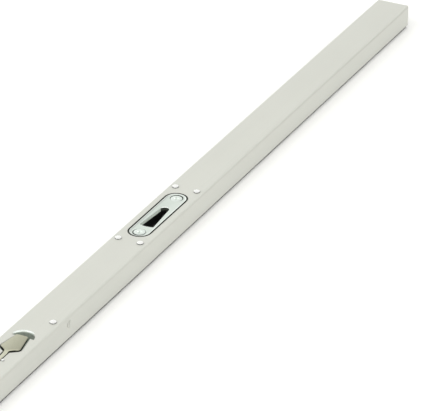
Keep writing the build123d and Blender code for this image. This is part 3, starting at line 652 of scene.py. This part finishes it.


# Painted light among these: the dark edge, dark zinc, flank and dark aluminium finishes are painted shade;
# the near-white rim finish is a painted highlight; the pale slot finish paints the notch wall as lit.
finishes = {"coat": satin_powder_coat, "cut": painted_shade_edge, "side screw": painted_screw, "keep": stamped_zinc,
            "rim": painted_highlight_zinc, "shaded zinc": painted_shade_zinc, "slot and lit notch wall": slot_and_lit_notch_zinc, "screw": turned_zinc,
            "rivet": headed_aluminium, "lever": tumbled_nickel, "flank": painted_shade_flank, "casting": cast_zinc,
            "cover": mill_aluminium, "strip": galvanised_strip, "gear": ground_steel, "washer": turned_bronze,
            "spring": blued_spring, "nylon": moulded_nylon}
made_finishes = {}


def finish(name):
    """The material of a finish, made the first time that it is asked for."""
    if name not in made_finishes:
        made_finishes[name] = finishes[name]()
    return made_finishes[name]


# Sizes and colours that a user would change

as_colour = {"size": 4, "subtype": "COLOR", "min": 0.0, "max": 1.0}
as_length = {"precision": 5, "unit": "LENGTH"}


class LockColours(PropertyGroup):
    """Main colours of the finishes."""

    coat_light: FloatVectorProperty(name="Coat, thin", description="Lighter tone of the powder coat",
                                    default=linear("B9BAB3"), **as_colour)
    coat_deep: FloatVectorProperty(name="Coat, thick", description="Deeper tone of the powder coat",
                                   default=linear("B5B6AF"), **as_colour)
    zinc: FloatVectorProperty(name="Zinc", description="Plating of the keep plates",
                              default=linear("DBE3DD"), **as_colour)
    nickel: FloatVectorProperty(name="Nickel", description="Plating of the lever's paddle",
                                default=linear("BABAA6"), **as_colour)
    # Paler nickel that the neck takes.
    nickel_neck: FloatVectorProperty(name="Nickel, neck", description="Plating of the lever's neck",
                                     default=linear("D0D0BD"), **as_colour)


class LockEdges(PropertyGroup):
    """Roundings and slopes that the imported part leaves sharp."""

    fold: FloatProperty(name="Folds", description="Outer radius of the channel's folds",
                        default=1.0 * MM, min=0.3 * MM, max=1.5 * MM, **as_length)
    face: FloatProperty(name="Face openings", description="Rounding of the keep openings in the face",
                        default=0.2 * MM, min=0.05 * MM, max=0.6 * MM, **as_length)
    # The bevel's brightness is a painted highlight.
    bevel: FloatProperty(name="Notch bevel", description="Width of the bright bevel round the finger notch",
                         default=1.3 * MM, min=0.5 * MM, max=2.0 * MM, **as_length)
    dimple: FloatProperty(name="Side screw dimple", description="Rounding of the sheet round the side screws",
                          default=0.9 * MM, min=0.1 * MM, max=1.0 * MM, **as_length)


class LockStudio(PropertyGroup):
    """Light and floor of the stage."""

    surround: FloatProperty(name="Surround", description="Brightness of the white surround",
                            default=0.95, min=0.0, max=5.0)
    lamp: FloatProperty(name="Soft box", description="Power of the soft box on the far side",
                        default=4.2, min=0.0, max=50.0, unit="POWER")
    floor: FloatVectorProperty(name="Floor", description="Colour of the paper floor",
                               default=linear("ECECEB"), **as_colour)


class LOCK_OT_face_channel(Operator):
    """Folded and coated sheet with the face, both side walls and all openings"""

    bl_idname = "lock.face_channel"
    bl_label = "Face channel"

    def execute(self, context):
        edges = context.scene.lock_edges
        fold = edges.fold / MM
        openings = [lever_opening()]
        rolls = [self.notch_bevel(openings[0], edges.bevel / MM)]
        holes = []
        for level, centre in keep_centres.items():
            openings.append(obround(centre, keep_length + 2 * keep_gap, keep_width + 2 * keep_gap))
            rolls.append(np.full(len(openings[-1]), edges.face / MM))
            holes += [circle(place, rivet_radius, 24) for place in carrier_rivet_places(level)]
        holes += [circle(place, rivet_radius, 24) for place in housing_rivet_places()]
        holes += [circle(place, stake_shank_radius, 16) for place in stake_places()]
        face = whole_length(fold - side_y, side_y - fold)
        under = whole_length(-inner_y, inner_y)
        tops = [grown(opening, roll) for opening, roll in zip(openings, rolls)] + holes
        patches = [flat(*[plan(outline, face_z) for outline in [face] + tops]),
                   flat(*[plan(outline, inner_top) for outline in [under] + openings + holes])]
        for opening, roll in zip(openings, rolls):
            patches += self.opening_wall(opening, roll)
        for hole in holes:
            patches.append(skin(carried(hole, [(0.0, face_z), (0.0, inner_top)])))
        for side in (-1, 1):
            patches += self.side_wall(side, fold, edges.dimple / MM)
        outline = np.concatenate([
            arc((foot_roll - side_y, back_edge_z + foot_roll), foot_roll, 270, 180, 7),
            arc((fold - side_y, face_z - fold), fold, 180, 90, 11),
            arc((side_y - fold, face_z - fold), fold, 90, 0, 11),
            arc((side_y - foot_roll, back_edge_z + foot_roll), foot_roll, 0, -90, 7),
            [(inner_y, back_edge_z), (inner_y, inner_top), (-inner_y, inner_top), (-inner_y, back_edge_z)]])
        for end in (-bar_end, bar_end):
            patches.append(flat(endwise(outline, end)))
        # Finishes in order: coat, dark edge painted as shade, pale notch wall painted as lit, near-white
        # bevel painted as highlight.
        materials = [finish("coat"), finish("cut"), finish("slot and lit notch wall"), finish("rim")]
        piece("face_channel_sheet", patches, materials, "frame", ["face_channel"])
        return {"FINISHED"}

    def notch_bevel(self, opening, bevel):
        """Rounding at each point of the lever's opening: even, and widened to the bevel round the far part
        of the notch by a smooth step of the angle from the bar's long axis."""
        turn = np.degrees(np.arctan2(opening[:, 1], opening[:, 0] - notch_centre_x))
        share = (1.0 - smooth_step(*bevel_ends, turn)) * smooth_step(*bevel_starts, turn)
        return opening_roll + (bevel - opening_roll) * share * (opening[:, 0] > paddle_tip_x)

    def opening_wall(self, opening, roll):
        """Rounded edge and cut wall of an opening. Its edge is a quarter round drawn out by the rounding at
        each point; the notch's far part has its bevel painted near white as highlight and its wall painted
        pale as lit, the keep openings' edges and the other walls are painted dark as shade, and the coat
        wraps onto the walls beside the paddle."""
        edge = min(opening_roll, float(np.min(roll)))
        rings = [plan(grown(opening, roll * (growth / edge)), level)
                 for growth, level in rolled_edge(edge, face_z, -1)]
        widened = roll > bevel_least * edge
        notch = widened & np.roll(widened, -1)
        round_edge = skin(np.stack(rings))
        wall_patch = skin(carried(opening, [(0.0, face_z - edge), (0.0, inner_top)]))
        lip = 0 if edge == opening_roll else 1
        beside = (opening[:, 0] > paddle_wide[0]) & (lip == 0)
        return [finished(round_edge, np.tile(np.where(notch, 3, lip), len(rings) - 1)),
                finished(wall_patch, np.where(notch, 2, np.where(beside, 0, 1)))]

    def side_wall(self, side, fold, dimple):
        """One side wall with its screw hole, its fold to the face and its rounded foot."""
        screw_hole = circle(side_screw_place(), side_screw_head)
        outer = whole_length(back_edge_z + foot_roll, face_z - fold)
        inner = whole_length(back_edge_z, inner_top)
        round_edge = np.concatenate([rolled_edge(dimple, side_y, -1), [(0.0, inner_y)]]) * (1, side)
        bend = arc((side * (side_y - fold), face_z - fold), fold, 90, 90 - side * 90, 11)
        foot = np.concatenate([arc((side * (side_y - foot_roll), back_edge_z + foot_roll), foot_roll,
                                   90 - side * 90, -90, 7), [(side * inner_y, back_edge_z)]])
        # The rounded foot takes the dark edge finish, painted shade that deepens the line along the floor.
        return [flat(upright(outer, side * side_y), upright(grown(screw_hole, dimple), side * side_y)),
                flat(upright(inner, side * inner_y), upright(screw_hole, side * inner_y)),
                skin(carried(screw_hole, round_edge, upright)),
                skin(np.stack([endwise(bend, -bar_end), endwise(bend, bar_end)]), False),
                finished(skin(np.stack([endwise(foot, -bar_end), endwise(foot, bar_end)]), False), 1)]


class LOCK_OT_keep_plates(Operator):
    """Stamped keep plates with a raised rim, screw seats and the tapered slot"""

    bl_idname = "lock.keep_plates"
    bl_label = "Keep plates"

    def execute(self, context):
        # Finishes in order: plating, near white painted as highlight, dark painted as shade, and the slot's
        # pale wall.
        materials = [finish("keep"), finish("rim"), finish("shaded zinc"), finish("slot and lit notch wall")]
        for level, centre in keep_centres.items():
            piece(level + "_keep_plate_stamping", self.plate(centre), materials, "frame",
                  [level + "_keep_plate"])
        return {"FINISHED"}

    def plate(self, centre):
        """Closed skin of a plate: rounded rim, a slope that falls by half a cosine wave to the field, the
        slot with a narrow end painted dark as shade, and seats whose floors run into countersinks. The rim's
        top, upper slope and the slot's edge are painted near white as highlight; the rim's outer edge and
        wall and the seats are painted dark as shade."""
        low = face_z - keep_thickness
        field = face_z - keep_field_drop
        rim = obround(centre, keep_length, keep_width)
        slot = keep_slot(centre)
        narrow_end = slot[:, 0] > centre + slot_end - slot_narrow / 2 + slot_end_margin
        fall = np.linspace(0.0, math.pi, 11)
        slope = np.stack([-keep_rim - keep_slope * fall / math.pi,
                          field + keep_field_drop * (1 + np.cos(fall)) / 2], axis=1)
        screws = [(centre + side * keep_screw_reach, 0) for side in (-1, 1)]
        seats = [circle((centre + side * (keep_screw_reach + seat_shift), 0), seat_radius)
                 for side in (-1, 1)]
        bores = [circle(spot, keep_screw_radius + bore_play) for spot in screws]
        slot_wall = skin(carried(slot, [(0.0, field - slot_roll), (0.0, low)]))
        brow = [plan(grown(rim, -inset), face_z) for inset in (keep_edge, keep_rim)]
        patches = [finished(skin(carried(rim, rolled_edge(keep_edge, face_z, 1))), 2),
                   finished(skin(carried(rim, [(0.0, face_z - keep_edge), (0.0, low)])), 2),
                   finished(flat(*brow), 1),
                   finished(skin(carried(rim, slope[:6])), 1),
                   skin(carried(rim, slope[5:])),
                   flat(plan(grown(rim, -keep_rim - keep_slope), field), plan(grown(slot, slot_roll), field),
                        *[plan(seat, field) for seat in seats]),
                   finished(skin(carried(slot, rolled_edge(slot_roll, field, -1))), 1),
                   finished(slot_wall, np.where(narrow_end, 2, 3)),
                   flat(plan(rim, low), plan(slot, low), *[plan(bore, low) for bore in bores])]
        for spot, seat in zip(screws, seats):
            mouth_radius = keep_screw_head - (seat_depth - screw_shoulder) + screw_play
            mouth = circle(spot, mouth_radius)
            narrowing = mouth_radius - keep_screw_radius - bore_play
            floor = field - seat_depth
            cone = [(0.0, floor), (-narrowing, floor - narrowing), (-narrowing, low)]
            patches += [finished(skin(carried(seat, [(0.0, field), (0.0, floor)])), 2),
                        finished(flat(plan(seat, floor), plan(mouth, floor)), 2),
                        finished(skin(carried(mouth, cone)), 2)]
        return patches


class LOCK_OT_keep_screws(Operator):
    """Countersunk screws of the keep plates, with low crowns and cross recesses"""

    bl_idname = "lock.keep_screws"
    bl_label = "Keep screws"

    def execute(self, context):
        field = face_z - keep_field_drop
        for level, centre in keep_centres.items():
            patches = [moved(self.screw(), (centre + side * keep_screw_reach, 0.0, field))
                       for side in (-1, 1)]
            piece(level + "_keep_cross_screws", patches, [finish("screw"), finish("keep")], "frame",
                  [level + "_keep_screws"])
        return {"FINISHED"}

    def screw(self):
        """A turned profile whose crown falls with the square of the radius. The cross sinks it by its depth
        times smooth steps of the distance from the nearer arm's middle line and from the screw's middle."""
        taper = keep_screw_head - keep_screw_radius
        out = np.linspace(0.0, 1.0, 26) ** 0.8 * keep_screw_head
        crown = np.stack([out, screw_crown_rise - screw_crown_fall * (out / keep_screw_head) ** 2], axis=1)
        under = [(keep_screw_head, -screw_shoulder), (keep_screw_radius, -screw_shoulder - taper),
                 (keep_screw_radius, -keep_screw_length), (0.0, -keep_screw_length)]
        grid = turned(np.concatenate([crown, under]), 96)
        top = grid[:len(crown)]
        turn = math.radians(cross_turn)
        across = np.abs(top[..., 0] * math.cos(turn) + top[..., 1] * math.sin(turn))
        along = np.abs(top[..., 1] * math.cos(turn) - top[..., 0] * math.sin(turn))
        arms = 1.0 - smooth_step(*cross_flank, np.minimum(across, along))
        reach = 1.0 - smooth_step(*cross_taper, np.hypot(across, along))
        sunk = arms * reach
        grid[:len(crown), :, 2] -= cross_depth * sunk
        dull = np.zeros((len(grid) - 1, grid.shape[1]), dtype=int)
        dull[:len(crown) - 1] = (sunk[:-1] + np.roll(sunk, -1, axis=1)[1:]) / 2 > cross_dull_share
        return finished(skin(grid), dull.ravel())


class LOCK_OT_rivets(Operator):
    """Low flat rivets round the keep plates and the lever, and the small ones beside the neck"""

    bl_idname = "lock.rivets"
    bl_label = "Rivets"
    crown_rows = 12

    def execute(self, context):
        head = self.profile(rivet_head_radius, rivet_head_height, rivet_radius, rivet_depth)
        small = self.profile(stake_radius, stake_head_height, stake_shank_radius, stake_depth)
        rows = (("upper_carrier_rivet_heads", "upper_carrier_rivets", carrier_rivet_places("upper"), head),
                ("lower_carrier_rivet_heads", "lower_carrier_rivets", carrier_rivet_places("lower"), head),
                ("housing_rivet_heads", "housing_rivets", housing_rivet_places(), head),
                ("neck_stake_heads", "neck_stakes", stake_places(), small))
        for name, node, places, profile in rows:
            # The rivet's lower rim, side, undercut and shank take the dark aluminium finish, painted as the
            # shade on its side.
            bright, dull = profile[:self.crown_rows], profile[self.crown_rows - 1:]
            skins = [skin(turned(bright)), finished(skin(turned(dull)), 1)]
            patches = [moved(patch, (x, y, face_z)) for x, y in places for patch in skins]
            piece(name, patches, [finish("rivet"), finish("cover")], "frame", [node])
        return {"FINISHED"}

    def profile(self, radius, height, shank, depth):
        """Head and shank of a rivet: a crown that falls with the square of the radius, a quarter-round rim,
        a straight side and a fine undercut above the face."""
        corner = 0.25 * height
        crown_fall = 0.08 * height
        under = 0.1 * height
        out = np.linspace(0.0, radius - corner, 8)
        crown = np.stack([out, height - crown_fall * (out / radius) ** 2], axis=1)
        top = crown[-1, 1]
        angles = np.linspace(math.pi / 2, 0.0, 7)[1:]
        bend = np.stack([radius - corner + corner * np.cos(angles), top - corner + corner * np.sin(angles)],
                        axis=1)
        below = [(radius, under), (radius - under, 0.0), (shank, 0.0), (shank, -depth), (0.0, -depth)]
        return np.concatenate([crown, bend, below])


class LOCK_OT_flip_lever(Operator):
    """Spoon-shaped paddle with a crowned top, on a thin upright blade with its hub"""

    bl_idname = "lock.flip_lever"
    bl_label = "Flip lever"

    def execute(self, context):
        patches = self.paddle() + self.blade()
        piece("flip_lever_casting", patches, [finish("lever"), finish("flank")], "lever",
              ["flip_lever"])
        return {"FINISHED"}

    def top(self, points):
        """Height of the paddle's top: a shallow arch across, blended down behind the heel by a smooth step
        of the length, to a level inside the blade, so that the two tops never share one plane."""
        arch = face_z + paddle_proud - points[:, 1] ** 2 / (2 * paddle_crown_radius)
        sunk = blade_top - stub_sink
        return sunk + (arch - sunk) * smooth_step(*heel_rise, points[:, 0])

    def paddle(self):
        """Closed skin: rings from the spine out to the rim, round its edge and back along the underside."""
        rim = divided(spoon(stub_start_x), paddle_step)
        inner = grown(rim, -lever_edge)
        spine = np.stack([np.clip(rim[:, 0], *paddle_spine), np.zeros(len(rim))], axis=1)
        rows = []
        for share in np.linspace(0.0, 1.0, 10):
            ring = spine + (inner - spine) * share
            rows.append(np.column_stack([ring, self.top(ring)]))
        for growth, fall in rolled_edge(lever_edge, 0.0, 1)[1:]:
            ring = grown(rim, growth)
            rows.append(np.column_stack([ring, self.top(ring) + fall]))
        plated_rows = len(rows)
        under = np.minimum(face_z - paddle_skirt, self.top(rim) - paddle_least)
        foot = grown(rim, -paddle_foot_inset)
        rows.append(np.column_stack([foot, under]))
        for share in np.linspace(1.0, 0.0, 6)[1:]:
            rows.append(np.column_stack([spine + (foot - spine) * share, under]))
        # The paddle's sides and underside take the dark flank finish, painted shade.
        return [skin(np.stack(rows[:plated_rows])), finished(skin(np.stack(rows[plated_rows - 1:])), 1)]

    def blade(self):
        """Upright slab in side view: hub, neck and the rib under the paddle, with rounded long edges."""
        outline = closed(arc((0.0, pivot_z), hub_radius, 100, 330, 40),
                         [(blade_elbow_x, blade_bottom), (paddle_wide[0], blade_bottom),
                          (rib_tip_x, face_z - rib_tip_drop), (rib_start_x, blade_top)],
                         arc((blade_shoulder_x, blade_top - shoulder_radius), shoulder_radius, 90, 115, 4))
        bore = circle((0.0, pivot_z), hub_bore)
        half_profile = rolled_edge(lever_edge, neck_half, 1)
        profile = np.concatenate([half_profile, (half_profile * (1, -1))[::-1]])
        # The bore and the cheeks take the dark flank finish, painted shade.
        patches = [skin(carried(outline, profile, upright)),
                   finished(skin(carried(bore, [(0.0, neck_half), (0.0, -neck_half)], upright)), 1)]
        for level in (-neck_half, neck_half):
            cheek = flat(upright(grown(outline, -lever_edge), level), upright(bore, level))
            patches.append(finished(cheek, 1))
        return patches


class LOCK_OT_castings(Operator):
    """Finish of the castings: the lever's housing, the keep carriers and the end blocks"""

    bl_idname = "lock.castings"
    bl_label = "Castings"

    def execute(self, context):
        dress(finish("casting"), "lever_housing", "upper_keep_carrier", "lower_keep_carrier",
              "upper_end_block", "lower_end_block")
        return {"FINISHED"}


class LOCK_OT_back_cover(Operator):
    """Finish of the back cover and of the plain fasteners"""

    bl_idname = "lock.back_cover"
    bl_label = "Back cover and fasteners"

    def execute(self, context):
        # Painted shade: the back cover's dark grey deepens the line under the side walls.
        dress(finish("cover"), "back_cover")
        dress(finish("screw"), "back_cover_screws")
        dress(finish("side screw"), "housing_side_screws")
        dress(finish("rivet"), "guide_rivets")
        return {"FINISHED"}


class LOCK_OT_gearwork(Operator):
    """Finish of the gears, pins, end bolts, washers and the drag spring"""

    bl_idname = "lock.gearwork"
    bl_label = "Gearwork and bolts"

    def execute(self, context):
        dress(finish("gear"), "lever_gear_plates", "lever_gear_rivets", "pivot_pin", "idler_pinion",
              "idler_stud", "upper_lap_rivets", "lower_lap_rivets", "upper_end_bolt", "lower_end_bolt",
              "upper_bolt_pins", "lower_bolt_pins")
        dress(finish("washer"), "pivot_washers")
        dress(finish("spring"), "drag_spring")
        return {"FINISHED"}


class LOCK_OT_rods(Operator):
    """Finish of the racks and drive rods, their guides and the dust boxes"""

    bl_idname = "lock.rods"
    bl_label = "Rods and mouldings"

    def execute(self, context):
        dress(finish("strip"), "rack_bar", "counter_rack", "upper_drive_rod", "lower_drive_rod")
        dress(finish("nylon"), "upper_dust_box", "lower_dust_box", "upper_rod_guides", "lower_rod_guides")
        return {"FINISHED"}


class LOCK_OT_stage(Operator):
    """Pale floor, soft studio light and the camera"""

    bl_idname = "lock.stage"
    bl_label = "Stage"

    def execute(self, context):
        scene = context.scene
        studio = scene.lock_studio
        scene.view_settings.view_transform = "Standard"
        edges = (-floor_half, floor_half)
        points, faces, _ = skin(np.array([[(x, y, 0.0) for x in edges] for y in edges]), False)
        mesh = bpy.data.meshes.new("floor")
        mesh.from_pydata(points.tolist(), [], faces.tolist())
        floor = bpy.data.objects.new("floor", mesh)
        scene.collection.objects.link(floor)
        made, _, shader, _ = start("matt_paper", Roughness=0.9)
        shader.inputs["Base Color"].default_value = studio.floor
        mesh.materials.append(made)
        scene.world = self.surround(studio.surround)
        box = bpy.data.lights.new("soft_box", "AREA")
        box.energy = studio.lamp
        box.size = soft_box_side
        lamp = bpy.data.objects.new("soft_box", box)
        lamp.location = soft_box_place
        lamp.rotation_euler = Vector(soft_box_aim).to_track_quat("-Z", "Y").to_euler()
        scene.collection.objects.link(lamp)
        camera = bpy.data.objects.new("camera", bpy.data.cameras.new("camera"))
        camera.data.lens = camera_lens
        camera.data.sensor_width = sensor_width
        camera.data.clip_end = 50.0
        camera.location = (*camera_place[:2], camera_place[2] + face_z * MM)
        camera.rotation_euler = (math.radians(90 - camera_tilt), 0.0, math.radians(-camera_turn))
        scene.collection.objects.link(camera)
        scene.camera = camera
        return {"FINISHED"}

    def surround(self, brightness):
        """White surround whose brightness each patch multiplies by its factor, through a smooth step of
        the cosine of the angle from the patch's middle."""
        world = bpy.data.worlds.new("studio")
        world.use_nodes = True
        tree = world.node_tree
        tree.nodes.clear()
        toward = add(tree, "ShaderNodeTexCoord").outputs["Generated"]
        level = add(tree, "ShaderNodeValue")
        level.outputs[0].default_value = brightness
        shade = level.outputs[0]
        for direction, inner, outer, change in patches_of_light:
            near = add(tree, "ShaderNodeVectorMath", {0: toward, 1: Vector(direction).normalized()},
                       operation="DOT_PRODUCT")
            share = add(tree, "ShaderNodeMapRange", {"Value": near.outputs["Value"],
                                                     "From Min": math.cos(math.radians(outer)),
                                                     "From Max": math.cos(math.radians(inner)),
                                                     "To Min": 1.0, "To Max": change},
                        interpolation_type="SMOOTHSTEP")
            shade = add(tree, "ShaderNodeMath", {0: shade, 1: share.outputs["Result"]},
                        operation="MULTIPLY").outputs["Value"]
        glow = add(tree, "ShaderNodeBackground", {"Color": linear("FFFFFD"), "Strength": shade})
        add(tree, "ShaderNodeOutputWorld", {"Surface": glow.outputs["Background"]})
        return world


# Patches of the surround: direction, inner and outer half angle in degrees, and factor on the light. In
# their order: dark room corner, lit near side, lit end, far window, ceiling patch, shade along the floor
patches_of_light = [((0.80, -0.48, 0.33), 14.0, 44.0, 0.5), ((-0.25, -0.9, 0.55), 20.0, 55.0, 2.5),
                    ((-1.0, 0.1, 0.45), 15.0, 55.0, 1.6), ((0.72, 0.64, 0.25), 8.0, 26.0, 1.4),
                    ((0.72, 0.1, 0.69), 8.0, 28.0, 0.92), ((-0.25, -1.0, 0.0), 15.0, 42.0, 0.5)]


class LOCK_PT_panel(Panel):
    """Lists the sizes, colours and operators of the lock bar"""

    bl_idname = "LOCK_PT_panel"
    bl_label = "Lock bar"
    bl_space_type = "VIEW_3D"
    bl_region_type = "UI"
    bl_category = "Lock bar"

    def draw(self, context):
        scene = context.scene
        for group in (scene.lock_colours, scene.lock_edges, scene.lock_studio):
            for name in group.__annotations__:
                self.layout.prop(group, name)
        for step in steps:
            self.layout.operator(step.bl_idname)


steps = (LOCK_OT_face_channel, LOCK_OT_keep_plates, LOCK_OT_keep_screws, LOCK_OT_rivets, LOCK_OT_flip_lever,
         LOCK_OT_castings, LOCK_OT_back_cover, LOCK_OT_gearwork, LOCK_OT_rods, LOCK_OT_stage)
classes = (LockColours, LockEdges, LockStudio, *steps, LOCK_PT_panel)


def register():
    for kind in classes:
        bpy.utils.register_class(kind)
    bpy.types.Scene.lock_colours = PointerProperty(type=LockColours)
    bpy.types.Scene.lock_edges = PointerProperty(type=LockEdges)
    bpy.types.Scene.lock_studio = PointerProperty(type=LockStudio)


def unregister():
    del bpy.types.Scene.lock_studio
    del bpy.types.Scene.lock_edges
    del bpy.types.Scene.lock_colours
    for kind in reversed(classes):
        bpy.utils.unregister_class(kind)


def main():
    register()
    for step in steps:
        area, name = step.bl_idname.split(".")
        getattr(getattr(bpy.ops, area), name)()


if __name__ == "__main__":
    main()
